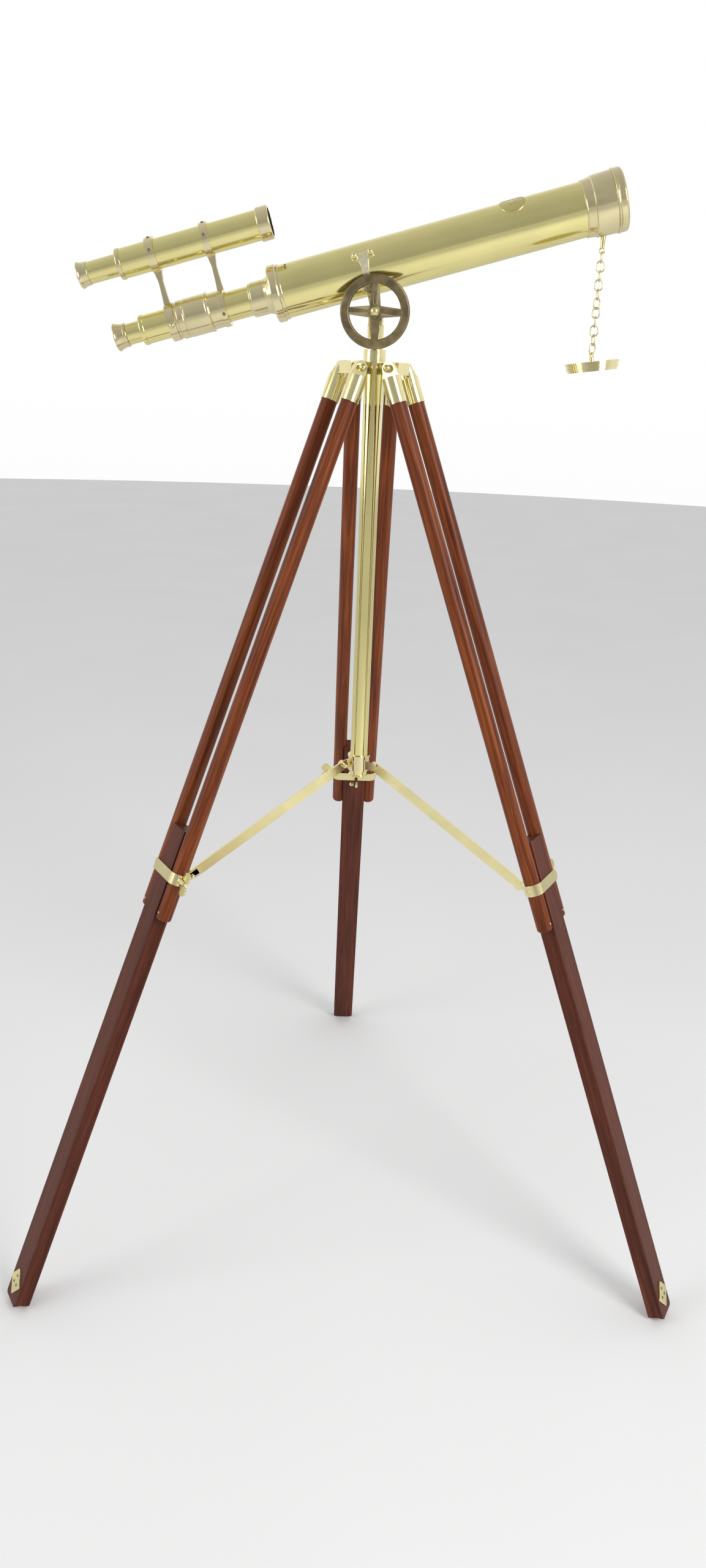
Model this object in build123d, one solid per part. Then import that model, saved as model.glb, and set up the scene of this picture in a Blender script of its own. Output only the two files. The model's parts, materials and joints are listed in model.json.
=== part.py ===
from build123d import *
import os
from math import atan2, cos, degrees, hypot, radians, sin

# A brass telescope with a finder on a wooden field tripod, in millimetres.
# The origin is on the floor under the centre pole, +Z is up and the tube points to +X.
# A station along the tube is measured from the tilt axle, positive towards the objective.
# A station down a leg is measured from its hinge pin.

# ---- driving dimensions ----
WALL = 1.2
FIT = 0.05

# Head
AXLE_Z = 1398.9
TILT = 16.04
TUBE_RISE = 55.2
FINDER_RISE = TUBE_RISE + 84.4
AXLE_R = 4.5
LUG_T = 8.0
CHEEK_T = 5.9
CHEEK_R = 9.5
POST_R = 11.0
POST_COLLAR_R = 15.0
POST_COLLAR_Z = 1354.5
POST_SHOULDER_Z = 1387.0
SPIGOT_R = 8.0
SPIGOT_Z = 1311.0

# Clamp wheel
WHEEL_R = 45.0
WHEEL_RIM = 11.7
WHEEL_FRONT_Y = -43.0
WHEEL_BACK_Y = -36.0
WHEEL_BOSS_R = 8.5
SPOKES = 4
SPOKE_HUB_W = 15.5
SPOKE_RIM_W = 8.5
SPOKE_T = 4.4
NUT_R = 6.3

# Main tube
TUBE_R = 32.8
TUBE_REAR = -119.5
TUBE_FRONT = 293.0
RING_BACK = -127.0
RING_FRONT = -111.0
COLLAR_BACK = -157.0
FOCUS_R = 18.5
BARREL_R = 24.3
DRAW_R = 18.3
DRAW_BACK = -309.0
NECK_R = 13.4
NECK_BACK = -329.0
EYE_CUP_BACK = -346.0
BELL_R = 34.7
BELL_BACK = 284.0
SLEEVE_R = 37.3
RIM_R = 38.0
MOUTH_R = 33.0
LENS_R = 32.0
LENS_SEAT = 310.0
LENS_FRONT = 319.0
BELL_STEP = 296.0
RIM_STATION = 322.5
OBJECTIVE_END = 336.0
MEDALLION_STATION = 197.0
MEDALLION_R = 17.0
MEDALLION_TURN = 33.0

# Finder
FINDER_R = 18.5
FINDER_DRAW_R = 13.8
FINDER_REAR = -309.0
FINDER_FRONT = -121.0
FINDER_MOUTH = -118.0
FINDER_MOUTH_R = 17.5
FINDER_RING_BACK = -123.2
FINDER_END = -106.6
FINDER_DRAW_BACK = -356.0
FINDER_CUP_BACK = -370.0
REAR_ARM = -266.5
FRONT_ARM = -192.6
REAR_CLIP_R = 21.8
FRONT_CLIP_R = 21.4

# Cradle
STRAP_T = 2.1
STRAP_TOP = 17.8
STRAP_TOP_FOOT = 10.5
STRAP_TOP_HALF = 14.0
STRAP_NECK_HALF = 6.2
STRAP_WAIST_HALF = 2.7
STRAP_WAIST = -16.0
LUG_HALF = 6.0
BALL_HEAD_R = 4.4
CRADLE_SCREW_STATION = 10.4
CRADLE_SCREW_TURN = 24.0

# Lens cap and chain
CAP_R = 35.75
CAP_SPIGOT_R = 32.7
CAP_BODY_R = 34.5
CAP_LIP_T = 3.0
CAP_BODY_T = 9.0
CAP_T = 12.0
CAP_STUB = 5.0
CAP_LEAN = 8.0
LINK_TURNS = (90, 0, 90, 0, 95, 30, 150, 80, 5, 105, 35)
CAP_EYE_TURN = 125
LINK_PITCH = 11.0
LINK_WIRE_R = 0.9
LINK_HALF_W = 4.75
LINK_STRAIGHT = 3.7
LINK_GAP = 0.3
CHAIN_X = 287.0
EYELET_WIRE_R = 0.9
EYELET_R = 3.2
EYELET_DROP = 16.0

# Hub and pole
HUB_R = 16.0
HUB_TOP = 1339.2
HUB_FLOOR = 1330.0
ARM_FLOOR = 1323.5
ARM_W = 18.0
BLOCK_HALF = 15.6
BLOCK_IN = 26.0
BLOCK_OUT = 45.0
POLE_R = 12.7
POLE_FOOT = 757.0

# Legs
TRIPOD_TURN = 3.8
LEG_TURNS = {"rear": 90.0, "left": 210.0, "right": 330.0}
SPLAY = 21.5
HINGE_R = 35.6
HINGE_Z = 1331.0
PIN_R = 3.0
ROD_R = 11.0
ROD_GAP = 26.5
ROD_END = 791.0
FERRULE_R = 12.2
FERRULE_TOP = 12.0
FERRULE_END = 46.0
TONGUE_IN = 15.9
TONGUE_R = 9.0
BOARD_TOP = 662.0
BOARD_END = 1423.0
BOARD_HALF_W = 19.6
BOARD_HALF_T = 11.5
GROOVE_R = 11.3
PLATE_TOP = 1369.0
PLATE_END = 1413.0
PLATE_HALF_W = 18.0
PLATE_T = 2.0
TIP_R = 1.5
SPIKE_R = 3.5

# Clamp bands
BAND_S = 727.0
BAND_H = 16.0
BAND_T = 1.6
STUD_R = 2.5
WING_R = 8.0

# Spider and braces
SPIDER_Z = 774.0
SPIDER_R = 15.5
SPIDER_FOOT = 764.0
SPIDER_TOP = 785.0
INNER_PIVOT_R = 26.0
OUTER_PIVOT_IN = 33.0
BRACE_W = 15.0
BRACE_END_R = 6.5
BRACE_T = 3.0
LUG_GAP = 0.2
LUG_PLATE = 4.0
BRACE_PIN_R = 2.4

# ---- derived places ----
TUBE_FRAME = Pos(0, 0, AXLE_Z) * Rot(0, -TILT, 0)
ROD_LEAN = radians(SPLAY)
OUTER_PIVOT_R = HINGE_R + BAND_S * sin(ROD_LEAN) - OUTER_PIVOT_IN * cos(ROD_LEAN)
OUTER_PIVOT_Z = HINGE_Z - BAND_S * cos(ROD_LEAN) - OUTER_PIVOT_IN * sin(ROD_LEAN)
BRACE_L = hypot(OUTER_PIVOT_R - INNER_PIVOT_R, SPIDER_Z - OUTER_PIVOT_Z)
BRACE_SLOPE = degrees(atan2(SPIDER_Z - OUTER_PIVOT_Z, OUTER_PIVOT_R - INNER_PIVOT_R))
TIP_S = (HINGE_Z - TIP_R) / cos(ROD_LEAN)

parts = {}


def add(name, *solids):
    """Keep a node made of one solid or of several separate ones."""
    parts[name] = solids[0] if len(solids) == 1 else Compound(children=list(solids))


def turned(outline, rise=TUBE_RISE):
    """A body turned about the tube axis, from corners of (station, radius)."""
    face = make_face(Polyline(*outline, close=True))
    return TUBE_FRAME * Pos(0, 0, rise) * revolve(face, Axis.X)


def sleeve(rear, front, outer, inner, rise=TUBE_RISE):
    """A plain ring or tube about the tube axis."""
    return turned([(rear, inner), (front, inner), (front, outer), (rear, outer)], rise)


def bar_x(radius, start, end):
    """A round bar along X."""
    return Pos((start + end) / 2, 0, 0) * Rot(0, 90, 0) * Cylinder(radius, end - start)


def bar_y(radius, start, end):
    """A round bar along Y."""
    return Pos(0, (start + end) / 2, 0) * Rot(90, 0, 0) * Cylinder(radius, end - start)


def bar_z(radius, start, end):
    """A round bar along Z."""
    return Pos(0, 0, (start + end) / 2) * Cylinder(radius, end - start)


def block(x, y, z):
    """A box from three (low, high) pairs."""
    size = [high - low for low, high in (x, y, z)]
    centre = [(high + low) / 2 for low, high in (x, y, z)]
    return Pos(*centre) * Box(*size)


def dome(radius, centre, side):
    """Half a ball on the end of a bar along Y, on the side of +1 or -1."""
    half = block((-radius, radius), (0, radius), (-radius, radius))
    return Pos(0, centre, 0) * Rot(0, 0, 0 if side > 0 else 180) * (Sphere(radius) & half)


def ring(major, minor):
    """A wire ring round the Y axis."""
    return Rot(90, 0, 0) * Torus(major, minor)


# ---- stand ----
def hub():
    boss = bar_z(HUB_R, HUB_FLOOR, HUB_TOP)
    boss += bar_z(POLE_R - WALL - FIT, 1302, HUB_FLOOR)
    for turn in LEG_TURNS.values():
        arm = block((13, 30), (-ARM_W / 2, ARM_W / 2), (ARM_FLOOR, HUB_TOP))
        end = block((BLOCK_IN, BLOCK_OUT), (-BLOCK_HALF, BLOCK_HALF), (ARM_FLOOR, HUB_TOP))
        bolt = Pos(HINGE_R, 0, HINGE_Z) * bar_y(PIN_R + FIT, -BLOCK_HALF - 1, BLOCK_HALF + 1)
        boss += Rot(0, 0, turn + TRIPOD_TURN) * (arm + end - bolt)
    boss -= bar_z(POLE_R + FIT, 1300, HUB_FLOOR) - bar_z(POLE_R - WALL - FIT, 1300, HUB_FLOOR)
    return boss - bar_z(SPIGOT_R + FIT, 1300, HUB_TOP + 1)


def hinge_bolt():
    """One leg hinge bolt with a domed head, and its domed nut, along Y."""
    head = bar_y(5.4, 26.8, 30.6) + dome(5.0, 30.6, 1)
    bolt = bar_y(PIN_R, -30.4, 26.8) + head
    nut = bar_y(5.4, -30.6, -26.8) + dome(5.0, -30.6, -1)
    return bolt, nut - bar_y(PIN_R, -30.4, 0)


bolts = []
for turn in LEG_TURNS.values():
    place = Rot(0, 0, turn + TRIPOD_TURN) * Pos(HINGE_R, 0, HINGE_Z)
    bolts += [place * piece for piece in hinge_bolt()]

add("hub", hub())
add("leg_hinge_bolts", *bolts)
add("pole", bar_z(POLE_R, POLE_FOOT, HUB_FLOOR) - bar_z(POLE_R - WALL, POLE_FOOT, HUB_FLOOR))
stop = bar_z(14.5, POLE_FOOT - 1.5, POLE_FOOT) + bar_z(POLE_R - WALL - FIT, POLE_FOOT, POLE_FOOT + 15)
add("pole_end", stop)


# ---- turning head ----
def yoke_post():
    post = bar_z(SPIGOT_R, SPIGOT_Z, HUB_TOP)
    post += bar_z(POST_COLLAR_R, HUB_TOP, POST_COLLAR_Z)
    neck = bar_z(POST_R, POST_COLLAR_Z, POST_SHOULDER_Z)
    post += chamfer(neck.faces().sort_by(Axis.Z)[-1].edges(), 2)
    reach = LUG_T / 2 + CHEEK_T
    fork = block((-CHEEK_R, CHEEK_R), (-reach, reach), (POST_SHOULDER_Z - 4, AXLE_Z))
    fork = fork & bar_z(hypot(CHEEK_R, reach) - 1, POST_SHOULDER_Z - 4, AXLE_Z)
    fork += Pos(0, 0, AXLE_Z) * bar_y(CHEEK_R, -reach, reach)
    gap = LUG_T / 2 + 0.1
    slot = block((-20, 20), (-gap, gap), (AXLE_Z - CHEEK_R - 1, AXLE_Z + 20))
    return post + fork - slot - Pos(0, 0, AXLE_Z) * bar_y(AXLE_R, -20, 20)


def axle_bolt():
    """The tilt axle with its domed head behind, and the domed nut before the wheel."""
    reach = LUG_T / 2 + CHEEK_T
    bolt = bar_y(AXLE_R, WHEEL_FRONT_Y - 4, reach) + bar_y(8, reach, reach + 2.5)
    bolt += dome(6.5, reach + 2.5, 1)
    nut = bar_y(NUT_R, WHEEL_FRONT_Y - 4.2, WHEEL_FRONT_Y - 0.2)
    nut += dome(NUT_R, WHEEL_FRONT_Y - 4.2, -1)
    nut -= bar_y(AXLE_R, WHEEL_FRONT_Y - 4, 0)
    return Pos(0, 0, AXLE_Z) * bolt, Pos(0, 0, AXLE_Z) * nut


def clamp_wheel():
    """A spoked hand wheel on a long boss, along Y."""
    rim = bar_y(WHEEL_R, WHEEL_FRONT_Y, WHEEL_BACK_Y)
    rim -= bar_y(WHEEL_R - WHEEL_RIM, WHEEL_FRONT_Y - 1, WHEEL_BACK_Y + 1)
    rim = fillet(rim.edges().filter_by(GeomType.CIRCLE), 2.8)
    wheel = rim + bar_y(WHEEL_BOSS_R, WHEEL_FRONT_Y, -LUG_T / 2 - CHEEK_T - 0.3)
    inner = WHEEL_R - WHEEL_RIM + 2
    hub_half = SPOKE_HUB_W / 2
    rim_half = SPOKE_RIM_W / 2
    outline = [(0, -hub_half), (inner, -rim_half), (inner, rim_half), (0, hub_half)]
    spoke = extrude(make_face(Polyline(*outline, close=True)), SPOKE_T / 2, both=True)
    middle = (WHEEL_FRONT_Y + WHEEL_BACK_Y) / 2
    for index in range(SPOKES):
        wheel += Rot(0, index * 360 / SPOKES, 0) * Pos(0, middle, 0) * Rot(90, 0, 0) * spoke
    return Pos(0, 0, AXLE_Z) * (wheel - bar_y(AXLE_R + FIT, -60, 0))


add("yoke_post", yoke_post())
add("axle_bolt", *axle_bolt())
add("clamp_wheel", clamp_wheel())


# ---- cradle ----
def cradle():
    """The T-headed strap under the tube with its lug on the axle, cast in one."""
    low = -TUBE_R - STRAP_T - 3
    right = [
        (STRAP_TOP_HALF, STRAP_TOP),
        (STRAP_TOP_HALF, STRAP_TOP_FOOT),
        (STRAP_NECK_HALF, STRAP_TOP_FOOT - 3),
        (STRAP_WAIST_HALF, STRAP_WAIST),
        (LUG_HALF, STRAP_WAIST - 7),
        (LUG_HALF, low),
    ]
    left = [(-x, z) for x, z in reversed(right)]
    side = Rot(90, 0, 0) * extrude(make_face(Polyline(*right, *left, close=True)), 50, both=True)
    shell = bar_x(TUBE_R + STRAP_T, -20, 20) - bar_x(TUBE_R + FIT, -21, 21)
    strap = Pos(0, 0, TUBE_RISE) * (side & shell)
    half = LUG_T / 2
    lug = block((-LUG_HALF, LUG_HALF), (-half, half), (0, TUBE_RISE - 28)) + bar_y(CHEEK_R, -half, half)
    lug -= Pos(0, 0, TUBE_RISE) * bar_x(TUBE_R + FIT, -20, 20)
    return TUBE_FRAME * (strap + lug - bar_y(AXLE_R + FIT, -20, 20))


def cradle_screw(station, turn):
    """A ball-head screw on the strap, turned from the horizontal round the tube."""
    ball = Pos(0, -TUBE_R - STRAP_T - BALL_HEAD_R / 2, 0) * Sphere(BALL_HEAD_R)
    ball -= bar_x(TUBE_R + STRAP_T + 0.02, -8, 8)
    return TUBE_FRAME * Pos(station, 0, TUBE_RISE) * Rot(-turn, 0, 0) * ball


add("cradle", cradle())
screws = []
for station in (-CRADLE_SCREW_STATION, CRADLE_SCREW_STATION):
    screws += [cradle_screw(station, turn) for turn in (CRADLE_SCREW_TURN, 180 - CRADLE_SCREW_TURN)]
add("cradle_screws", *screws)

# ---- main tube and objective ----
add("main_tube", sleeve(TUBE_REAR, TUBE_FRONT, TUBE_R, TUBE_R - WALL))
add(
    "rear_ring",
    turned(
        [
            (RING_BACK, FOCUS_R + 1.5),
            (TUBE_REAR - 0.5, FOCUS_R + 1.5),
            (TUBE_REAR - 0.5, TUBE_R + FIT),
            (RING_FRONT, TUBE_R + FIT),
            (RING_FRONT, 34.0),
            (RING_FRONT - 4.5, 34.0),
            (RING_FRONT - 5, 35.5),
            (RING_BACK + 1, 35.5),
            (RING_BACK, 34.5),
        ]
    ),
)
add(
    "reducer_collar",
    turned(
        [
            (COLLAR_BACK, FOCUS_R + FIT),
            (RING_FRONT + 3, FOCUS_R + FIT),
            (RING_FRONT + 3, FOCUS_R + 1.45),
            (RING_BACK - 0.1, FOCUS_R + 1.45),
            (RING_BACK - 0.1, 25.5),
            (RING_BACK - 4, 23.2),
            (RING_BACK - 10, 21.5),
            (COLLAR_BACK + 1, 21.5),
            (COLLAR_BACK, 20.5),
        ]
    ),
)
add(
    "objective_bell",
    turned(
        [
            (BELL_BACK, TUBE_R + FIT),
            (TUBE_FRONT + 0.1, TUBE_R + FIT),
            (TUBE_FRONT + 0.1, LENS_R - 1),
            (LENS_SEAT, LENS_R - 1),
            (LENS_SEAT, LENS_R + FIT),
            (LENS_FRONT, LENS_R + FIT),
            (LENS_FRONT, MOUTH_R),
            (RIM_STATION, MOUTH_R),
            (RIM_STATION, SLEEVE_R),
            (BELL_STEP, SLEEVE_R - 0.9),
            (BELL_STEP - 1, BELL_R + 0.2),
            (BELL_BACK, BELL_R - 0.8),
        ]
    ),
)
add(
    "objective_rim",
    turned(
        [
            (RIM_STATION, MOUTH_R),
            (OBJECTIVE_END, MOUTH_R),
            (OBJECTIVE_END, RIM_R - 1.5),
            (OBJECTIVE_END - 1.5, RIM_R),
            (RIM_STATION + 4, RIM_R),
            (RIM_STATION + 3.5, RIM_R - 0.6),
            (RIM_STATION + 3, RIM_R + 0.6),
            (RIM_STATION, RIM_R + 0.6),
        ]
    ),
)
add("objective_lens", sleeve(LENS_SEAT + 0.1, LENS_FRONT - 0.5, LENS_R, 0))


def medallion():
    disc = bar_y(MEDALLION_R, -50, 0)
    shell = bar_x(TUBE_R + 1.3, -30, 30) - bar_x(TUBE_R + FIT, -31, 31)
    turned_disc = Rot(-(90 - MEDALLION_TURN), 0, 0) * disc
    return TUBE_FRAME * Pos(MEDALLION_STATION, 0, TUBE_RISE) * (turned_disc & shell)


add("medallion", medallion())

# ---- focusing draw with the finder brackets ----
add("focus_tube", sleeve(-206, 14, FOCUS_R, FOCUS_R - WALL))
add(
    "barrel",
    turned(
        [
            (-259, DRAW_R + FIT),
            (-206.1, DRAW_R + FIT),
            (-206.1, FOCUS_R + FIT),
            (-197, FOCUS_R + FIT),
            (-197, BARREL_R - 1.7),
            (-211.5, BARREL_R - 1.7),
            (-211.5, BARREL_R + 0.6),
            (-216, BARREL_R + 0.6),
            (-216, BARREL_R),
            (-245.2, BARREL_R),
            (-245.6, BARREL_R - 0.8),
            (-246.6, BARREL_R - 0.8),
            (-247, BARREL_R - 0.2),
            (-255.5, BARREL_R - 0.2),
            (-256, BARREL_R - 1.7),
            (-259, BARREL_R - 1.7),
        ]
    ),
)


def bracket(arm, low_rear, low_front, low_r, low_bore, high_rear, high_front, high_r):
    """A ring on the focusing draw, a strap arm and a ring round the finder, cast in one."""
    low = sleeve(low_rear, low_front, low_r, low_bore)
    high = sleeve(high_rear, high_front, high_r, FINDER_R + FIT, FINDER_RISE)
    start = TUBE_RISE + low_r - 2
    end = FINDER_RISE - high_r + 2
    outline = [
        (-4.3, start),
        (4.3, start),
        (3.6, start + 9),
        (3.0, end - 14),
        (5.3, end),
        (-5.3, end),
        (-3.0, end - 14),
        (-3.6, start + 9),
    ]
    strap = Rot(90, 0, 0) * extrude(make_face(Polyline(*outline, close=True)), 3.5, both=True)
    return low + high + TUBE_FRAME * Pos(arm, 0, 0) * strap


rear = bracket(REAR_ARM, -270, -259.1, 23.8, DRAW_R + FIT, -272.3, -261.6, REAR_CLIP_R)
front = bracket(FRONT_ARM, -196.9, -189.5, 23.6, FOCUS_R + FIT, -198, -188, FRONT_CLIP_R)
add("rear_bracket", rear)
add("front_bracket", front)

screws = []
for station, radius in ((-267, REAR_CLIP_R), (-193, FRONT_CLIP_R)):
    for turn in (100, 160, 220, 340):
        head = bar_y(2.1, -radius - 1.6, -radius - 0.02) - bar_x(radius + 0.02, -3, 3)
        screws.append(TUBE_FRAME * Pos(station, 0, FINDER_RISE) * Rot(90 - turn, 0, 0) * head)
add("bracket_screws", *screws)

# ---- eyepiece draw ----
add(
    "eyepiece_draw",
    turned(
        [
            (NECK_BACK, NECK_R - 1.8),
            (DRAW_BACK + 1.5, NECK_R - 1.8),
            (DRAW_BACK + 1.5, DRAW_R - WALL),
            (-232, DRAW_R - WALL),
            (-232, DRAW_R),
            (DRAW_BACK + 6, DRAW_R),
            (DRAW_BACK + 6, DRAW_R + 0.9),
            (DRAW_BACK, DRAW_R + 0.9),
            (DRAW_BACK, NECK_R),
            (NECK_BACK, NECK_R),
        ]
    ),
)
add(
    "eyepiece_cup",
    turned(
        [
            (NECK_BACK - 0.1, 7.0),
            (NECK_BACK - 6, 7.0),
            (EYE_CUP_BACK, 15.8),
            (EYE_CUP_BACK, 18.0),
            (EYE_CUP_BACK + 1.6, 18.0),
            (EYE_CUP_BACK + 3.5, 16.6),
            (NECK_BACK - 5, 15.0),
            (NECK_BACK - 3, 14.8),
            (NECK_BACK - 0.1, 14.8),
        ]
    ),
)
add("eye_lens", sleeve(NECK_BACK + 2, NECK_BACK + 5, NECK_R - 1.9, 0))

# ---- finder ----
add("finder_tube", sleeve(FINDER_REAR, FINDER_FRONT, FINDER_R, FINDER_R - WALL, FINDER_RISE))
add(
    "finder_rings",
    turned(
        [
            (FINDER_RING_BACK, FINDER_R + FIT),
            (FINDER_MOUTH, FINDER_R + FIT),
            (FINDER_MOUTH, FINDER_MOUTH_R),
            (FINDER_END, FINDER_MOUTH_R),
            (FINDER_END, 19.8),
            (FINDER_END - 1, 20.6),
            (FINDER_RING_BACK + 0.8, 20.6),
            (FINDER_RING_BACK, 19.8),
        ],
        FINDER_RISE,
    ),
    turned(
        [
            (FINDER_REAR - 6, FINDER_DRAW_R + FIT),
            (FINDER_REAR + 9, FINDER_DRAW_R + FIT),
            (FINDER_REAR + 9, FINDER_R - WALL - FIT),
            (FINDER_REAR - 0.1, FINDER_R - WALL - FIT),
            (FINDER_REAR - 0.1, 19.5),
            (FINDER_REAR - 6, 19.5),
        ],
        FINDER_RISE,
    ),
)
add("finder_lens", sleeve(FINDER_FRONT + 0.1, FINDER_MOUTH - 0.1, FINDER_R, 0, FINDER_RISE))
draw = sleeve(FINDER_DRAW_BACK, -255, FINDER_DRAW_R, FINDER_DRAW_R - WALL, FINDER_RISE)
add("finder_draw", draw)
add(
    "finder_cup",
    turned(
        [
            (FINDER_DRAW_BACK - 0.1, 7.0),
            (FINDER_DRAW_BACK - 4, 7.0),
            (FINDER_CUP_BACK, 14.6),
            (FINDER_CUP_BACK, 16.8),
            (FINDER_CUP_BACK + 1.5, 16.8),
            (FINDER_CUP_BACK + 3.5, 15.4),
            (FINDER_DRAW_BACK - 2.5, 14.4),
            (FINDER_DRAW_BACK - 0.1, 14.4),
        ],
        FINDER_RISE,
    ),
)


# ---- lens cap and its chain ----
def link():
    """One oval wire link in the XZ plane, centred on the origin."""
    half = LINK_STRAIGHT / 2
    reach = LINK_HALF_W + 2
    upper = ring(LINK_HALF_W, LINK_WIRE_R) & block((-reach, reach), (-reach, reach), (0, reach))
    body = Pos(0, 0, half) * upper + Pos(0, 0, -half) * Rot(0, 180, 0) * upper
    for side in (-LINK_HALF_W, LINK_HALF_W):
        body += Pos(side, 0, 0) * bar_z(LINK_WIRE_R, -half, half)
    return body


# The bell eyelet hangs from the sleeve, and the chain hangs straight down from it.
LEAN = radians(TILT)
LINK_REACH = LINK_HALF_W + LINK_STRAIGHT / 2
SLEEVE_FOOT_Z = AXLE_Z + (CHAIN_X * sin(LEAN) + TUBE_RISE - SLEEVE_R) / cos(LEAN)
EYELET_Z = SLEEVE_FOOT_Z - EYELET_DROP
CHAIN_PIVOT_Z = EYELET_Z - EYELET_R
HOOK = LINK_WIRE_R + EYELET_WIRE_R + LINK_GAP
FIRST_LINK_Z = CHAIN_PIVOT_Z + HOOK - LINK_REACH
LAST_LINK_Z = FIRST_LINK_Z - (len(LINK_TURNS) - 1) * LINK_PITCH
CAP_PIVOT_Z = LAST_LINK_Z - LINK_REACH
CAP_EYELET_Z = CAP_PIVOT_Z + HOOK - EYELET_R


def bell_eyelet():
    """A tapered stub under the sleeve that ends in a wire eye facing sideways."""
    height = EYELET_DROP + 2 - EYELET_R
    stub = Pos(0, 0, EYELET_R + height / 2) * Cone(2.5, 3.6, height)
    body = Pos(CHAIN_X, 0, EYELET_Z) * (ring(EYELET_R, EYELET_WIRE_R) + stub)
    return body - parts["objective_bell"]


def lens_cap():
    """A push-in cap with its eye on top, hanging a little askew."""
    wall = 1.5
    cap = bar_z(CAP_R, -CAP_LIP_T, 0) + bar_z(CAP_BODY_R, -CAP_BODY_T, -CAP_LIP_T)
    cap += bar_z(CAP_SPIGOT_R, -CAP_T, -CAP_BODY_T)
    cap -= bar_z(CAP_SPIGOT_R - wall, -CAP_T, -CAP_LIP_T)
    eye = Pos(0, 0, CAP_STUB + EYELET_R) * Rot(0, 0, CAP_EYE_TURN) * ring(EYELET_R, EYELET_WIRE_R)
    return cap + bar_z(3.0, 0, CAP_STUB) + eye


links = []
for index, turn in enumerate(LINK_TURNS):
    links.append(Pos(CHAIN_X, 0, FIRST_LINK_Z - index * LINK_PITCH) * Rot(0, 0, turn) * link())

add("bell_eyelet", bell_eyelet())
add("chain_links", *links)
cap_place = Pos(CHAIN_X, 0, CAP_EYELET_Z) * Rot(0, -CAP_LEAN, 0) * Pos(0, 0, -CAP_STUB - EYELET_R)
add("lens_cap", cap_place * lens_cap())


# ---- legs ----
def leg_frame(turn):
    """Local X is outward and square to the leg, Y is tangential, Z runs up the leg."""
    return Rot(0, 0, turn + TRIPOD_TURN) * Pos(HINGE_R, 0, HINGE_Z) * Rot(0, -SPLAY, 0)


def rod(side):
    body = bar_z(ROD_R, -ROD_END, -FERRULE_TOP - 4)
    body = fillet(body.faces().sort_by(Axis.Z)[0].edges(), 4)
    return Pos(0, side * ROD_GAP, 0) * body


def ferrule(side):
    """A cap on the rod whose inner half runs on as a tongue round the hinge bolt."""
    cup = bar_z(FERRULE_R, -FERRULE_END, 14) - bar_z(ROD_R + FIT, -FERRULE_END, -FERRULE_TOP - 4)
    inner = ROD_GAP - TONGUE_IN
    outline = [(-TONGUE_R, 0), (TONGUE_R, 0), (FERRULE_R, -FERRULE_TOP), (-FERRULE_R, -FERRULE_TOP)]
    tongue = Rot(90, 0, 0) * extrude(make_face(Polyline(*outline, close=True)), inner)
    tongue += bar_y(TONGUE_R, -inner, 0)
    keep = block((-20, 20), (-20, 20), (-FERRULE_END, -FERRULE_TOP)) + tongue
    body = Pos(0, ROD_GAP, 0) * (cup & keep) - bar_y(PIN_R + FIT, 0, 50)
    return body if side > 0 else mirror(body, Plane.XZ)


def board():
    """A flat strip whose edges are hollowed to run on the rods."""
    body = block((-BOARD_HALF_T, BOARD_HALF_T), (-BOARD_HALF_W, BOARD_HALF_W), (-BOARD_END, -BOARD_TOP))
    body = fillet(body.faces().sort_by(Axis.Z)[0].edges().filter_by(Axis.X), 5)
    for side in (-1, 1):
        body -= Pos(0, side * ROD_GAP, 0) * bar_z(GROOVE_R, -BOARD_END - 1, -BOARD_TOP + 1)
    return body - bar_z(SPIKE_R, -BOARD_END - 1, -BOARD_END + 20)


def foot_plate():
    middle = (PLATE_TOP + PLATE_END) / 2
    half = (PLATE_END - PLATE_TOP) / 2
    outline = [(0, half), (PLATE_HALF_W, 0), (0, -half), (-PLATE_HALF_W, 0)]
    face = make_face(Polyline(*outline, close=True))
    plate = fillet(extrude(face, PLATE_T).edges().filter_by(Axis.Z), 3)
    return Pos(BOARD_HALF_T, 0, -middle) * Plane.YZ.location * plate


def foot_spike():
    """A turned spike in the board's end, round at the tip that stands on the floor."""
    shank = bar_z(SPIKE_R - FIT, -BOARD_END, -BOARD_END + 19)
    cone_end = -TIP_S - 0.4
    cone = Pos(0, 0, (cone_end - BOARD_END) / 2) * Cone(TIP_R - 0.2, 5.5, -BOARD_END - cone_end)
    return shank + cone + Pos(0, 0, -TIP_S) * Sphere(TIP_R)


def clamp_band():
    """A strap round rods and board, with the brace lug inside and the wing nut's stud."""
    low, high = -BAND_S - BAND_H / 2, -BAND_S + BAND_H / 2
    thick = BOARD_HALF_T + 0.3 + BAND_T
    outer = block((-thick, thick), (-ROD_GAP, ROD_GAP), (low, high))
    inner = block((-thick + BAND_T, thick - BAND_T), (-BOARD_HALF_W, BOARD_HALF_W), (low - 1, high + 1))
    inner += block((-ROD_R, ROD_R), (-ROD_GAP, ROD_GAP), (low - 1, high + 1))
    for side in (-1, 1):
        outer += Pos(0, side * ROD_GAP, 0) * bar_z(thick, low, high)
        inner += Pos(0, side * ROD_GAP, 0) * bar_z(ROD_R + FIT, low - 1, high + 1)
    edge = -BRACE_T / 2 - LUG_GAP
    lug = block((-OUTER_PIVOT_IN, -thick + 0.8), (edge - LUG_PLATE, edge), (-BAND_S - 6.5, -BAND_S + 6.5))
    lug += Pos(-OUTER_PIVOT_IN, 0, -BAND_S) * bar_y(6.5, edge - LUG_PLATE, edge)
    stud_start = ROD_GAP + thick - 0.8
    stud = bar_y(STUD_R, stud_start, stud_start + 14) + bar_y(6, stud_start, stud_start + 1.8)
    return outer - inner + lug + Pos(0, 0, -BAND_S) * stud


WING_START = ROD_GAP + BOARD_HALF_T + 0.3 + BAND_T + 1.4


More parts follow.
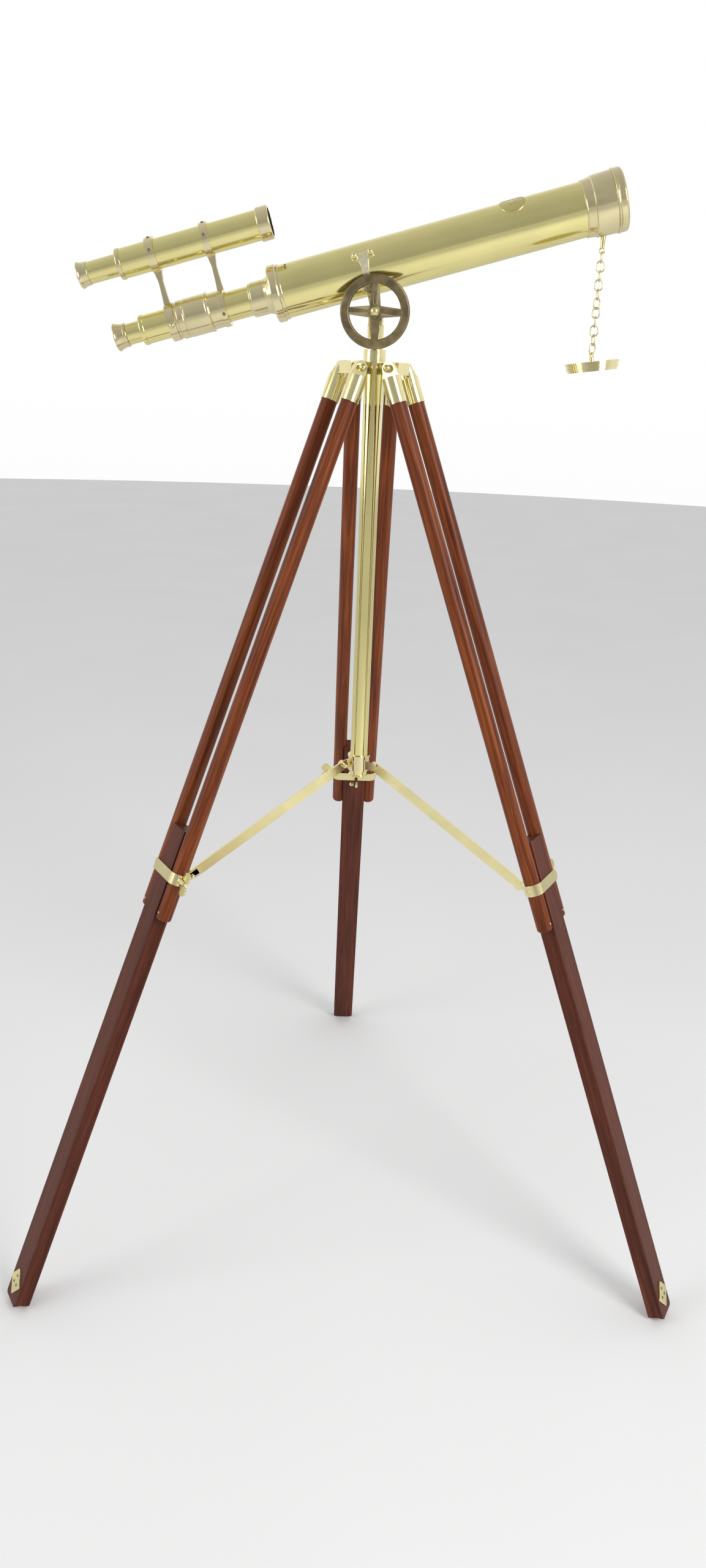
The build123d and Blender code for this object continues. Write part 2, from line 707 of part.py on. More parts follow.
def wing_nut():
    """A conical boss with two round wings spread along the leg."""
    boss = Rot(-90, 0, 0) * Pos(0, 0, 5) * Cone(6.0, 4.0, 10)
    for side in (-1, 1):
        boss += Pos(0, 9.5, side * 9.0) * Rot(0, 90, 0) * Cylinder(WING_R, 3.0)
    return Pos(0, WING_START, -BAND_S) * (boss - bar_y(STUD_R + FIT, -1, 20))


def brace():
    """A flat bar on edge from the spider to the clamp, and its ball-head screw."""
    half = BRACE_T / 2
    taper = 20.0
    outline = [
        (0, BRACE_END_R),
        (taper, BRACE_W / 2),
        (BRACE_L - taper, BRACE_W / 2),
        (BRACE_L, BRACE_END_R),
        (BRACE_L, -BRACE_END_R),
        (BRACE_L - taper, -BRACE_W / 2),
        (taper, -BRACE_W / 2),
        (0, -BRACE_END_R),
    ]
    bar = Rot(90, 0, 0) * extrude(make_face(Polyline(*outline, close=True)), half, both=True)
    bar += bar_y(BRACE_END_R, -half, half) + Pos(BRACE_L, 0, 0) * bar_y(BRACE_END_R, -half, half)
    bar -= bar_y(BRACE_PIN_R + FIT, -5, 5)
    bar -= Pos(BRACE_L, 0, 0) * bar_y(BRACE_PIN_R, -5, 5)
    screw = bar_y(BRACE_PIN_R, -half, half) + bar_y(3.0, half, half + 1.5)
    screw += Pos(0, half + 3.6, 0) * Sphere(3.4)
    return bar, Pos(BRACE_L, 0, 0) * screw


for name, turn in LEG_TURNS.items():
    leg = leg_frame(turn)
    add(f"{name}_rods", leg * rod(-1), leg * rod(1))
    add(f"{name}_ferrules", leg * ferrule(-1), leg * ferrule(1))
    add(f"{name}_clamp_band", leg * clamp_band())
    add(f"{name}_wing_nut", leg * wing_nut())
    add(f"{name}_board", leg * board())
    add(f"{name}_foot_plate", leg * foot_plate())
    add(f"{name}_foot_spike", leg * foot_spike())
    radial = Rot(0, 0, turn + TRIPOD_TURN) * Pos(INNER_PIVOT_R, 0, SPIDER_Z) * Rot(0, BRACE_SLOPE, 0)
    add(f"{name}_brace", *[radial * piece for piece in brace()])


# ---- spider ----
def spider():
    body = bar_z(SPIDER_R, SPIDER_FOOT, SPIDER_TOP) + bar_z(SPIDER_R + 1, SPIDER_TOP, SPIDER_TOP + 3)
    edge = -BRACE_T / 2 - LUG_GAP
    for turn in LEG_TURNS.values():
        lug = block((13, INNER_PIVOT_R), (edge - LUG_PLATE, edge), (SPIDER_Z - 6.5, SPIDER_Z + 6.5))
        lug += Pos(INNER_PIVOT_R, 0, SPIDER_Z) * bar_y(6.5, edge - LUG_PLATE, edge)
        lug -= Pos(INNER_PIVOT_R, 0, SPIDER_Z) * bar_y(BRACE_PIN_R, -20, 20)
        body += Rot(0, 0, turn + TRIPOD_TURN) * lug
    return body - bar_z(POLE_R + 2 * FIT, SPIDER_FOOT - 1, SPIDER_TOP + 4)


def spider_pin():
    """The pin that a brace turns on, with a ball head beside the bar."""
    half = BRACE_T / 2
    shaft = bar_y(BRACE_PIN_R, -half - LUG_GAP - LUG_PLATE, half + 0.2)
    return shaft + bar_y(3.0, half + 0.2, half + 1.7) + Pos(0, half + 3.6, 0) * Sphere(3.4)


pins = []
for turn in LEG_TURNS.values():
    pins.append(Rot(0, 0, turn + TRIPOD_TURN) * Pos(INNER_PIVOT_R, 0, SPIDER_Z) * spider_pin())
add("spider", spider())
add("spider_pins", *pins)

os.makedirs("parts", exist_ok=True)
for name, shape in parts.items():
    export_step(shape, f"parts/{name}.step")
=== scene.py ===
import json
from math import cos, pi, radians, sin

import bmesh
import bpy
from mathutils import Matrix, Vector


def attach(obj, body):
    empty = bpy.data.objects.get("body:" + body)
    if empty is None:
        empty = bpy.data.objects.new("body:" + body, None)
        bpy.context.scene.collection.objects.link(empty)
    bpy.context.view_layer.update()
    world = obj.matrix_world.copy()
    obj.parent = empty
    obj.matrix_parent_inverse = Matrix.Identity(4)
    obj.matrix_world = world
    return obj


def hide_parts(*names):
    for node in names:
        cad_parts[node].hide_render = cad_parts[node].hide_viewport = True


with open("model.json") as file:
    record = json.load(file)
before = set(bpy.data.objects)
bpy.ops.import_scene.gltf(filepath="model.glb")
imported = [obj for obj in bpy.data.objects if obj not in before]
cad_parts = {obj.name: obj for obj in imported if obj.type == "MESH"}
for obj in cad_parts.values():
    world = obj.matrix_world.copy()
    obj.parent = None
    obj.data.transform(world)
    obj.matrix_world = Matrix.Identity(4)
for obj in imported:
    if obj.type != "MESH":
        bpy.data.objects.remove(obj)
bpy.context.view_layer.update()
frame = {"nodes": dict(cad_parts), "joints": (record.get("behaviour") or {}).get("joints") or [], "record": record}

# Lengths below are in millimetres and become metres when a mesh is made.
MM = 0.001
LEGS = ("rear", "left", "right")
LARGE_FACE_CORNERS = 8

joints = {joint["name"]: joint for joint in frame["joints"]}
mounts = {mount["name"]: mount for mount in frame["record"]["mounts"]}


# ---- places worked out from the frame ----
def axes_matrix(origin, x_axis, y_axis):
    """A frame from its origin and its X and Y axes."""
    x_axis = Vector(x_axis).normalized()
    y_axis = Vector(y_axis).normalized()
    rotation = Matrix((x_axis, y_axis, x_axis.cross(y_axis))).transposed()
    return Matrix.Translation(Vector(origin)) @ rotation.to_4x4()


axle = Vector(joints["altitude_tilt"]["pos_m"])
tube_axis = Vector(joints["focus_slide"]["axis"])
AXLE_FRAME = axes_matrix(axle, tube_axis, (0, 1, 0))


def rise_of(mount):
    """How far a mount's axis lies above the axle, square to the tube."""
    return (AXLE_FRAME.inverted() @ Vector(mounts[mount]["pos_m"])).z


TUBE = AXLE_FRAME @ Matrix.Translation((0, 0, rise_of("objective_mouth")))
FINDER = AXLE_FRAME @ Matrix.Translation((0, 0, rise_of("finder_mouth")))
UPRIGHT = axes_matrix((0, 0, 0), (0, 0, 1), (0, 1, 0))
WHEEL = axes_matrix(axle, (0, -1, 0), (0, 0, 1))


def leg_frame(name):
    """Local X is outward and square to the leg, Y is tangential, Z runs up the leg."""
    up = Vector(joints[f"{name}_leg_retract"]["axis"])
    across = Vector(joints[f"{name}_leg_fold"]["axis"])
    return axes_matrix(joints[f"{name}_leg_fold"]["pos_m"], across.cross(up), across)


# ---- materials ----
class Nodes:
    """Short ways to add and link the nodes of one material."""

    def __init__(self, name):
        self.material = bpy.data.materials.new(name)
        self.material.use_nodes = True
        self.tree = self.material.node_tree
        self.shader = self.tree.nodes["Principled BSDF"]
        self.coordinates = self.tree.nodes.new("ShaderNodeTexCoord")

    def add(self, kind, **values):
        node = self.tree.nodes.new(kind)
        for key, value in values.items():
            setattr(node, key, value)
        return node

    def link(self, source, target):
        self.tree.links.new(source, target)

    def mapped(self, scale):
        mapping = self.add("ShaderNodeMapping")
        mapping.inputs["Scale"].default_value = scale
        self.link(self.coordinates.outputs["Object"], mapping.inputs["Vector"])
        return mapping.outputs["Vector"]

    def noise(self, scale, detail=4.0, stretch=(1, 1, 1), distortion=0.0):
        node = self.add("ShaderNodeTexNoise")
        node.inputs["Scale"].default_value = scale
        node.inputs["Detail"].default_value = detail
        node.inputs["Distortion"].default_value = distortion
        self.link(self.mapped(stretch), node.inputs["Vector"])
        return node.outputs["Fac"]

    def ramp(self, value, stops):
        node = self.add("ShaderNodeValToRGB")
        elements = node.color_ramp.elements
        while len(elements) < len(stops):
            elements.new(0.5)
        for element, (position, colour) in zip(elements, stops):
            element.position = position
            element.color = (*colour, 1)
        self.link(value, node.inputs["Fac"])
        return node.outputs["Color"]

    def spread(self, value, low, high):
        node = self.add("ShaderNodeMapRange")
        node.inputs["From Min"].default_value = 0.3
        node.inputs["From Max"].default_value = 0.7
        node.inputs["To Min"].default_value = low
        node.inputs["To Max"].default_value = high
        self.link(value, node.inputs["Value"])
        return node.outputs["Result"]

    def mix(self, kind, factor, first, second):
        node = self.add("ShaderNodeMix", data_type="RGBA", blend_type=kind)
        if isinstance(factor, float):
            node.inputs["Factor"].default_value = factor
        else:
            self.link(factor, node.inputs["Factor"])
        for socket, value in ((node.inputs[6], first), (node.inputs[7], second)):
            if isinstance(value, tuple):
                socket.default_value = (*value, 1)
            else:
                self.link(value, socket)
        return node.outputs[2]

    def bump(self, height, strength, distance, normal=None):
        node = self.add("ShaderNodeBump")
        node.inputs["Strength"].default_value = strength
        node.inputs["Distance"].default_value = distance
        self.link(height, node.inputs["Height"])
        if normal is not None:
            self.link(normal, node.inputs["Normal"])
        return node.outputs["Normal"]

    def wear_and_shade_mask(self, low, high):
        """0 in hollows, 1 on outer edges, from the mesh's own curvature. Brass uses it to paint shade into its
        hollows; bronze uses it for edges rubbed bright.
        """
        node = self.add("ShaderNodeMapRange")
        node.inputs["From Min"].default_value = low
        node.inputs["From Max"].default_value = high
        geometry = self.add("ShaderNodeNewGeometry")
        self.link(geometry.outputs["Pointiness"], node.inputs["Value"])
        return node.outputs["Result"]


def tinted(colour, factor):
    return tuple(min(1.0, channel * factor) for channel in colour)


def brass(name, colour, rough, tarnish=0.12, marks=0.01):
    """Polished metal with faint turning marks along local X, smudges, tarnish and painted shade darkening its
    hollows.
    """
    nodes = Nodes(name)
    nodes.shader.inputs["Metallic"].default_value = 1.0
    cloud = nodes.noise(28, 5, (0.6, 1, 1))
    spots = nodes.noise(240, 3)
    base = nodes.ramp(cloud, [(0.3, tinted(colour, 1 - tarnish)), (0.7, tinted(colour, 1 + tarnish / 2))])
    # Painted shade: where the mesh's curvature shows a hollow, the colour is darkened towards this dim browner
    # tone.
    dark = tinted((colour[0], colour[1] * 0.85, colour[2] * 0.6), 0.55)
    painted_hollow_shade = nodes.mix("MIX", nodes.wear_and_shade_mask(0.42, 0.49), dark, base)
    nodes.link(painted_hollow_shade, nodes.shader.inputs["Base Color"])
    nodes.link(nodes.spread(spots, rough * 0.8, rough * 1.35), nodes.shader.inputs["Roughness"])
    soft = nodes.bump(nodes.noise(16, 1), 0.03, 0.0012)
    lines = nodes.noise(1.0, 2, (2600, 18, 18))
    nodes.link(nodes.bump(lines, marks, 0.0002, soft), nodes.shader.inputs["Normal"])
    return nodes.material


def bronze(name, colour):
    """Dark antique bronze: mottled, satin, rubbed bright on its edges."""
    nodes = Nodes(name)
    nodes.shader.inputs["Metallic"].default_value = 0.8
    mottle = nodes.noise(55, 6, distortion=0.4)
    patches = nodes.noise(14, 3)
    base = nodes.ramp(mottle, [(0.3, tinted(colour, 0.6)), (0.55, colour), (0.75, tinted(colour, 1.45))])
    warm = nodes.mix("MULTIPLY", nodes.spread(patches, 0.0, 0.6), base, (1.0, 0.82, 0.7))
    rubbed = nodes.mix("MIX", nodes.wear_and_shade_mask(0.52, 0.6), warm, tinted(colour, 2.1))
    nodes.link(rubbed, nodes.shader.inputs["Base Color"])
    nodes.link(nodes.spread(mottle, 0.34, 0.48), nodes.shader.inputs["Roughness"])
    nodes.link(nodes.bump(mottle, 0.18, 0.0008), nodes.shader.inputs["Normal"])
    return nodes.material


def wood(name, dark, middle, light, coat, rough):
    """Straight-grained mahogany along local Z under varnish."""
    nodes = Nodes(name)
    grain = nodes.noise(1.0, 7, (150, 150, 5), 1.1)
    bands = nodes.noise(1.0, 3, (38, 38, 1.6), 0.5)
    pores = nodes.noise(1.0, 2, (1500, 1500, 26))
    base = nodes.ramp(grain, [(0.32, dark), (0.5, middle), (0.68, light)])
    broad = nodes.mix("MULTIPLY", nodes.spread(bands, 0.0, 0.55), base, (0.62, 0.5, 0.42))
    streaks = nodes.ramp(pores, [(0.36, (0.35, 0.3, 0.28)), (0.46, (1, 1, 1))])
    nodes.link(nodes.mix("MULTIPLY", 0.55, broad, streaks), nodes.shader.inputs["Base Color"])
    nodes.link(nodes.spread(grain, rough, rough + 0.14), nodes.shader.inputs["Roughness"])
    nodes.shader.inputs["Specular IOR Level"].default_value = 0.18
    nodes.shader.inputs["Coat Weight"].default_value = coat
    nodes.shader.inputs["Coat Roughness"].default_value = 0.2
    nodes.link(nodes.bump(pores, 0.12, 0.0003), nodes.shader.inputs["Normal"])
    return nodes.material


def glass(name):
    nodes = Nodes(name)
    tint = nodes.ramp(nodes.noise(12, 2), [(0.3, (0.80, 0.90, 0.92)), (0.7, (0.90, 0.93, 0.98))])
    nodes.link(tint, nodes.shader.inputs["Base Color"])
    nodes.shader.inputs["Roughness"].default_value = 0.02
    nodes.shader.inputs["IOR"].default_value = 1.52
    nodes.shader.inputs["Transmission Weight"].default_value = 1.0
    return nodes.material


def blackened(name):
    """The matt black paint inside the tubes."""
    nodes = Nodes(name)
    tone = nodes.ramp(nodes.noise(300, 3), [(0.3, (0.012, 0.011, 0.01)), (0.7, (0.03, 0.028, 0.024))])
    nodes.link(tone, nodes.shader.inputs["Base Color"])
    nodes.shader.inputs["Roughness"].default_value = 0.75
    return nodes.material


YELLOW = (0.83, 0.75, 0.335)
CREAM = (0.78, 0.69, 0.41)
POLISHED = brass("polished_brass", YELLOW, 0.13, 0.06, 0.001)
CAST = brass("cast_brass", CREAM, 0.13, 0.1, 0.003)
STRAP = brass("strap_brass", (0.86, 0.79, 0.56), 0.34, 0.08, 0.0)
BADGE = brass("badge_brass", (0.66, 0.58, 0.24), 0.2, 0.12, 0.0)
TURNED = brass("turned_brass", (0.82, 0.735, 0.40), 0.12, 0.1, 0.004)
FASTENER = brass("fastener_brass", (0.76, 0.67, 0.33), 0.15, 0.16, 0.0)
WIRE = brass("wire_brass", (0.72, 0.65, 0.36), 0.2, 0.15, 0.0)
SCREWS = brass("dark_screw_brass", (0.30, 0.24, 0.10), 0.3, 0.2, 0.0)
BRONZE = bronze("antique_bronze", (0.235, 0.195, 0.105))
ROD = wood("mahogany_rod", (0.090, 0.017, 0.004), (0.185, 0.040, 0.008), (0.32, 0.082, 0.013), 0.12, 0.36)
BOARD = wood("mahogany_board", (0.078, 0.019, 0.010), (0.122, 0.031, 0.016), (0.168, 0.045, 0.023), 0.04, 0.46)
GLASS = glass("lens_glass")
BLACK = blackened("tube_black")


# ---- mesh helpers ----
def finish_mesh(name, mesh, place, material, body, replaced, weighted=True):
    piece = bpy.data.objects.new(name, mesh)
    bpy.context.scene.collection.objects.link(piece)
    for face in mesh.polygons:
        face.use_smooth = True
    mesh.materials.append(material)
    piece.matrix_world = place
    if weighted:
        normals = piece.modifiers.new("normals", "WEIGHTED_NORMAL")
        normals.keep_sharp = True
    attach(piece, body)
    if replaced:
        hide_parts(*replaced)
    return piece


def rounded(corners, radius):
    """A closed outline whose corners are small curves."""
    outline = []
    count = len(corners)
    for index, corner in enumerate(corners):
        corner = Vector(corner)
        before = Vector(corners[index - 1]) - corner
        after = Vector(corners[(index + 1) % count]) - corner
        reach = min(radius, before.length * 0.45, after.length * 0.45)
        start = corner + before.normalized() * reach
        end = corner + after.normalized() * reach
        for step in (0.0, 0.33, 0.67, 1.0):
            outline.append(start * (1 - step) ** 2 + corner * 2 * step * (1 - step) + end * step**2)
    return outline


def lathe(name, corners, place, material, body, replaced=(), soft=0.5, segments=128):
    """A body turned about local X from a closed outline of (station, radius)."""
    outline = rounded(corners, soft)
    build = bmesh.new()
    rings = []
    for index in range(segments):
        angle = 2 * pi * index / segments
        turned = [(p.x * MM, p.y * MM * cos(angle), p.y * MM * sin(angle)) for p in outline]
        rings.append([build.verts.new(corner) for corner in turned])
    for index in range(segments):
        here, there = rings[index], rings[(index + 1) % segments]
        for at in range(len(outline)):
            after = (at + 1) % len(outline)
            build.faces.new((here[at], there[at], there[after], here[after]))
    bmesh.ops.remove_doubles(build, verts=build.verts, dist=1e-7)
    bmesh.ops.dissolve_degenerate(build, dist=1e-8, edges=build.edges)
    bmesh.ops.recalc_face_normals(build, faces=build.faces)
    mesh = bpy.data.meshes.new(name)
    build.to_mesh(mesh)
    build.free()
    return finish_mesh(name, mesh, place, material, body, replaced)


def refine(node, place, material, body, width=0.5, name=None):
    """A piece with the node's own shape, its edges rounded and its shading smooth."""
    mesh = frame["nodes"][node].data.copy()
    mesh.materials.clear()
    mesh.transform(place.inverted())
    build = bmesh.new()
    build.from_mesh(mesh)
    bmesh.ops.remove_doubles(build, verts=build.verts, dist=2e-6)
    bmesh.ops.dissolve_limit(build, angle_limit=radians(1.0), verts=build.verts, edges=build.edges)
    # A long flat face with many corners shades black where it is split badly, so it is split here.
    large = [face for face in build.faces if len(face.verts) > LARGE_FACE_CORNERS]
    bmesh.ops.triangulate(build, faces=large)
    bmesh.ops.recalc_face_normals(build, faces=build.faces)
    build.to_mesh(mesh)
    build.free()
    if mesh.has_custom_normals:
        mesh.attributes.remove(mesh.attributes["custom_normal"])
    piece = finish_mesh(name or f"{node}_shaped", mesh, place, material, body, [node], False)
    bevel = piece.modifiers.new("edges", "BEVEL")
    bevel.width = width * MM
    bevel.segments = 3
    bevel.limit_method = "ANGLE"
    bevel.angle_limit = radians(32)
    bevel.harden_normals = False
    normals = piece.modifiers.new("normals", "WEIGHTED_NORMAL")
    normals.keep_sharp = True
    return piece


def screw(name, place, body, head=2.9, height=2.3, slot_cut=True, material=FASTENER):
    """A domed screw head rising along local X, with a cut across it."""
    steps = 8
    outline = [(0, 0)] + [(0, head)]
    for step in range(1, steps):
        angle = step / steps * pi / 2
        outline.append((height * sin(angle), head * cos(angle)))
    outline.append((height, 0))
    build = bmesh.new()
    segments = 28
    columns = []
    for index in range(segments):
        angle = 2 * pi * index / segments
        column = []
        for station, radius in outline:
            y, z = radius * cos(angle), radius * sin(angle)
            dip = 0.55 if slot_cut and abs(z) < head * 0.16 and station > height * 0.35 else 0.0
            column.append(build.verts.new(((station - dip) * MM, y * MM, z * MM)))
        columns.append(column)
    for index in range(segments):
        here, there = columns[index], columns[(index + 1) % segments]
        for at in range(len(outline) - 1):
            build.faces.new((here[at], there[at], there[at + 1], here[at + 1]))
    bmesh.ops.remove_doubles(build, verts=build.verts, dist=1e-7)
    bmesh.ops.dissolve_degenerate(build, dist=1e-8, edges=build.edges)
    bmesh.ops.recalc_face_normals(build, faces=build.faces)
    mesh = bpy.data.meshes.new(name)
    build.to_mesh(mesh)
    build.free()
    return finish_mesh(name, mesh, place, material, body, [])


def facing(frame_matrix, station, turn, radius):
    """A place on a tube's surface with local X outward. turn is from the -Y side towards the top."""
    outward = Vector((0, -cos(turn), sin(turn)))
    local = axes_matrix(Vector((station * MM, 0, 0)) + outward * radius * MM, outward, (1, 0, 0))
    return frame_matrix @ local


# ---- main tube and objective ----
def main_tube_pieces():
    body = "telescope"
    tube = [(-119.5, 31.6), (293, 31.6), (293, 32.8), (-119.5, 32.8)]
    lathe("main_tube_polished", tube, TUBE, POLISHED, body, ["main_tube"], segments=160, soft=0.3)
    ring = [
        (-127, 20.0),
        (-120, 20.0),
        (-120, 32.9),
        (-111, 32.9),
        (-111, 33.7),
        (-111.8, 34.1),
        (-115.2, 34.1),
        (-115.7, 34.9),
        (-116.8, 35.5),
        (-124.6, 35.5),
        (-126.2, 34.8),
        (-127, 33.4),
    ]
    lathe("rear_ring_turned", ring, TUBE, CAST, body, ["rear_ring"], 0.5)
    collar = [
        (-157, 18.6),
        (-108, 18.6),
        (-108, 19.9),
        (-127.1, 19.9),
        (-127.1, 25.4),
        (-129, 24.4),
        (-132, 22.5),
        (-136, 21.4),
        (-137, 21.5),
        (-153.6, 21.5),
        (-154.2, 21.0),
        (-156, 21.0),
        (-157, 20.2),
    ]
    lathe("reducer_collar_turned", collar, TUBE, CAST, body, ["reducer_collar"], 0.5)
    bell = [
        (284, 32.9),
        (293.1, 32.9),
        (293.1, 31.0),
        (310, 31.0),
        (310, 32.05),
        (319, 32.05),
        (319, 33.0),
        (322.5, 33.0),
        (322.5, 37.2),
        (314, 36.9),
        (304, 36.6),
        (296.4, 36.3),
        (295.6, 35.0),
        (285.6, 33.9),
        (285.2, 34.4),
        (284.3, 34.4),
        (284, 33.9),
    ]
    lathe("objective_bell_turned", bell, TUBE, CAST, body, ["objective_bell"], 0.35, 160)
    rim = [
        (322.6, 33.0),
        (336, 33.0),
        (336, 35.2),
        (335, 36.9),
        (333.4, 37.8),
        (326.6, 37.9),
        (326, 37.3),
        (325.4, 38.2),
        (324.2, 38.6),
        (323, 38.2),
        (322.6, 37.4),
    ]
    lathe("objective_rim_turned", rim, TUBE, CAST, body, ["objective_rim"], 0.4, 160)
    lens = [(310.2, 0), (310.6, 16), (311.6, 31.9), (315.6, 31.9), (317.4, 16), (318.2, 0)]
    lathe("objective_lens_ground", lens, TUBE, GLASS, body, ["objective_lens"], 0.2)
    baffle = [(150, 27), (151, 27), (151, 31.5), (150, 31.5)]
    lathe("tube_baffle", baffle, TUBE, BLACK, body, [], 0.1, 64)
    screw("tube_screw", facing(TUBE, -101, radians(62), 32.8), body, 1.7, 0.9, True, SCREWS)


def medallion_piece():
    """A domed round plate with a raised rim, beads and plain rays, wrapped on the tube."""
    radius = 17.0
    rings = 30
    segments = 96
    build = bmesh.new()
    turn = pi / 2 - radians(33)

    def height(reach, angle):
        share = reach / radius
        if share > 0.9:
            return 1.0 if share < 0.98 else 0.25
        if share > 0.82:
            return 0.45 + 0.35 * max(0.0, cos(angle * 30))
        if share > 0.76:
            return 0.85
        rays = 0.5 + 0.5 * cos(angle * 12)
        centre = 0.9 if share < 0.22 else 0.35 + 0.5 * rays * (1 - share)
        return centre

    def point(reach, angle, lift):
        along = reach * cos(angle)
        round_way = reach * sin(angle) / 32.8
        r = (32.86 + lift) * MM
        at = turn + round_way
        return Vector(((197 + along) * MM, -cos(at) * r, sin(at) * r))

    columns = []
    for index in range(segments):
        angle = 2 * pi * index / segments
        column = [build.verts.new(point(radius, angle, 0.0))]
        for step in range(rings, 0, -1):
            reach = radius * step / rings
            column.append(build.verts.new(point(reach, angle, height(reach, angle))))
        columns.append(column)
    centre = build.verts.new(point(0, 0, 0.9))
    for index in range(segments):
        here, there = columns[index], columns[(index + 1) % segments]
        for at in range(rings):
            build.faces.new((here[at], there[at], there[at + 1], here[at + 1]))
        build.faces.new((here[rings], there[rings], centre))
    bmesh.ops.recalc_face_normals(build, faces=build.faces)
    mesh = bpy.data.meshes.new("medallion_plain")
    build.to_mesh(mesh)
    build.free()
    finish_mesh("medallion_plain", mesh, TUBE, BADGE, "telescope", ["medallion"], False)


# ---- focusing draw, eyepiece and finder ----
def focus_pieces():
    body = "focus_draw"
    focus = [(-206, 17.3), (14, 17.3), (14, 18.5), (-206, 18.5)]
    lathe("focus_tube_polished", focus, TUBE, POLISHED, body, ["focus_tube"], soft=0.2)
    barrel = [
        (-259, 18.4),
        (-206.1, 18.4),
        (-206.1, 18.6),
        (-197, 18.6),
        (-197, 22.4),
        (-211.2, 22.6),
        (-211.6, 24.2),
        (-212.6, 24.9),
        (-214.9, 24.9),
        (-216, 24.3),
        (-244.8, 24.3),
        (-245.5, 23.5),
        (-246.7, 23.5),
        (-247.4, 24.1),
        (-254.8, 24.1),
        (-255.8, 22.6),
        (-259, 22.6),
    ]
    lathe("barrel_turned", barrel, TUBE, CAST, body, ["barrel"], 0.3)
    finder = [(-309, 17.3), (-121, 17.3), (-121, 18.5), (-309, 18.5)]
    lathe("finder_tube_polished", finder, FINDER, POLISHED, body, ["finder_tube"], soft=0.2)
    mouth = [
        (-123.2, 18.6),
        (-118, 18.6),
        (-118, 17.5),
        (-106.6, 17.5),
        (-106.6, 19.4),
        (-107.4, 20.3),
        (-108.6, 20.6),
        (-121.6, 20.5),
        (-122.6, 20.2),
        (-123.2, 19.4),
    ]
    lathe("finder_mouth_ring", mouth, FINDER, CAST, body, ["finder_rings"], 0.4)
    collar = [
        (-315, 13.9),
        (-300, 13.9),
        (-300, 17.2),
        (-309.1, 17.2),
        (-309.1, 19.2),
        (-310.5, 19.5),
        (-314, 19.5),
        (-315, 18.9),
    ]
    lathe("finder_rear_collar", collar, FINDER, CAST, body, [], 0.5)
    lens = [(-120.8, 0), (-120.7, 9), (-120.3, 18.4), (-119.0, 18.4), (-118.5, 9), (-118.3, 0)]
    lathe("finder_lens_ground", lens, FINDER, GLASS, body, ["finder_lens"], 0.2, 96)
    stop = [(-126, 5), (-125, 5), (-125, 17.2), (-126, 17.2)]
    lathe("finder_stop", stop, FINDER, BLACK, body, [], 0.1, 64)
    lining = [(-117.9, 17.3), (-107.6, 17.3), (-107.6, 17.49), (-117.9, 17.49)]
    lathe("finder_lining", lining, FINDER, BLACK, body, [], 0.05, 96)

    body = "eyepiece"
    draw = [
        (-329, 11.6),
        (-307.5, 11.6),
        (-307.5, 17.1),
        (-232, 17.1),
        (-232, 18.3),
        (-302.8, 18.3),
        (-303.4, 19.0),
        (-304.6, 19.2),
        (-307.8, 19.2),
        (-308.9, 18.6),
        (-309, 13.4),
        (-329, 13.4),
    ]
    lathe("eyepiece_draw_polished", draw, TUBE, POLISHED, body, ["eyepiece_draw"], soft=0.4)
    cup = [
        (-329.1, 7.0),
        (-335, 7.0),
        (-339, 9.6),
        (-343, 12.8),
        (-345.4, 15.6),
        (-346, 16.8),
        (-345.6, 17.8),
        (-344.6, 18.0),
        (-343, 17.2),
        (-340.5, 16.2),
        (-336.5, 15.1),
        (-333, 14.8),
        (-332.6, 15.3),
        (-330.4, 15.3),
        (-329.1, 14.8),
    ]
    lathe("eyepiece_cup_turned", cup, TUBE, CAST, body, ["eyepiece_cup"], 0.4)
    lens = [(-327, 0), (-326.6, 6), (-325.8, 11.4), (-324.6, 11.4), (-324.2, 6), (-324, 0)]
    lathe("eye_lens_ground", lens, TUBE, GLASS, body, ["eye_lens"], 0.1, 64)

    body = "finder_eyepiece"
    draw = [(-356, 12.6), (-255, 12.6), (-255, 13.8), (-356, 13.8)]
    lathe("finder_draw_polished", draw, FINDER, POLISHED, body, ["finder_draw"], soft=0.2)
    cup = [
        (-356.1, 7.0),
        (-360, 7.0),
        (-364, 9.6),
        (-367.6, 12.2),
        (-369.4, 14.6),
        (-370, 15.8),
        (-369.5, 16.6),
        (-368.5, 16.8),
        (-367, 16.0),
        (-365, 15.3),
        (-361, 14.7),
        (-358.2, 14.6),
        (-356.6, 14.6),
        (-356.1, 14.2),
    ]
    lathe("finder_cup_turned", cup, FINDER, CAST, body, ["finder_cup"], 0.4)


def bracket_pieces():
    for node in ("rear_bracket", "front_bracket"):
        refine(node, TUBE, CAST, "focus_draw", 0.6)
    for index, (station, radius) in enumerate(((-267, 21.8), (-193, 21.4))):
        for at, turn in enumerate((10, 70, 130, 250)):
            place = facing(FINDER, station, radians(turn), radius)
            head = screw(f"bracket_screw_{index}_{at}", place, "focus_draw", 2.3, 1.2, True, SCREWS)
            if index == 0 and at == 0:
                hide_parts("bracket_screws")
    ball = facing(TUBE, -264.5, radians(-15), 23.6)
    screw("bracket_ball_screw", ball, "focus_draw", 3.5, 3.2, False)
    side = facing(TUBE, -193.2, radians(-22), 23.4)
    screw("bracket_side_screw", side, "focus_draw", 2.5, 1.3, True, SCREWS)


